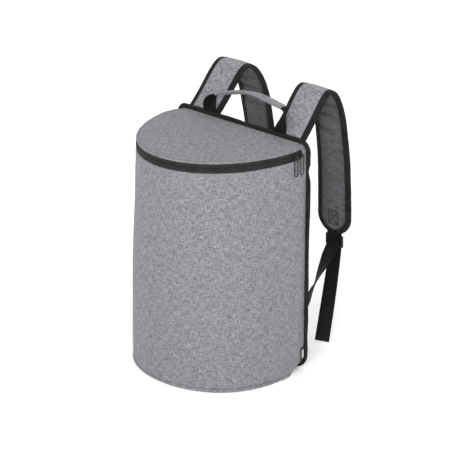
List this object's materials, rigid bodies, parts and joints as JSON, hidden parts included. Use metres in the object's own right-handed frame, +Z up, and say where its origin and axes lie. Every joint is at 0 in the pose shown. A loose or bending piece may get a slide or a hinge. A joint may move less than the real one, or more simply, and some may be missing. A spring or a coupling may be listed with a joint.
{
  "type": "cooler backpack",
  "caption": "Soft D-shaped insulated cooler backpack with zipped lid, bound back seam, padded shoulder straps with ladder locks, webbing adjusters and a carry handle.",
  "frame": {"origin": "middle of the flat base, on the floor: halfway between the side seams and halfway between the back seam and the front at the zip", "axes": "+Z up, +X across the back towards the side with the zip pulls, -Y towards the bag's front"},
  "size_m": [0.3059, 0.36, 0.4855],
  "materials": {
    "heather_cloth": "mid grey two-tone heather weave, matt",
    "back_cloth": "plain grey padded cloth, matt",
    "binding": "charcoal ribbed binding tape",
    "webbing": "near-black ribbed webbing",
    "lock_plastic": "black moulded plastic, satin",
    "coil_plastic": "black nylon zip coil",
    "zip_metal": "dark lacquered metal",
    "label_cloth": "woven label tape, bare"
  },
  "bodies": {
    "bag": {"front_wall": "heather_cloth", "base_panel": "heather_cloth", "lid_panel": "heather_cloth", "back_panel": "back_cloth", "back_binding": "binding", "side_label": "label_cloth", "zip_tape_lower": "webbing", "zip_coil": "coil_plastic", "zip_tape_upper": "webbing", "zip_slider_rear": "zip_metal", "zip_slider_front": "zip_metal", "strap_pad_left": "heather_cloth", "strap_pad_right": "heather_cloth", "strap_trim_left": "binding", "strap_trim_right": "binding", "ladder_lock_left": "lock_plastic", "ladder_lock_right": "lock_plastic", "lock_tab_left": "webbing", "lock_tab_right": "webbing", "adjuster_left": "webbing", "adjuster_right": "webbing", "handle_webbing": "webbing", "handle_sleeve": "heather_cloth"},
    "pull_rear": {"zip_pull_rear": "zip_metal"},
    "pull_front": {"zip_pull_front": "zip_metal"}
  },
  "joints": [
    {"name": "pull_rear_swing", "type": "hinge", "parent": "bag", "child": "pull_rear", "pos_m": [0.15107, 0.08255, 0.39615], "axis": [0.0577, -0.9983, 0], "range_deg": [0, 150]},
    {"name": "pull_front_swing", "type": "hinge", "parent": "bag", "child": "pull_front", "pos_m": [0.15121, 0.06815, 0.39615], "axis": [-0.0315, -0.9995, 0], "range_deg": [0, 150]}
  ]
}
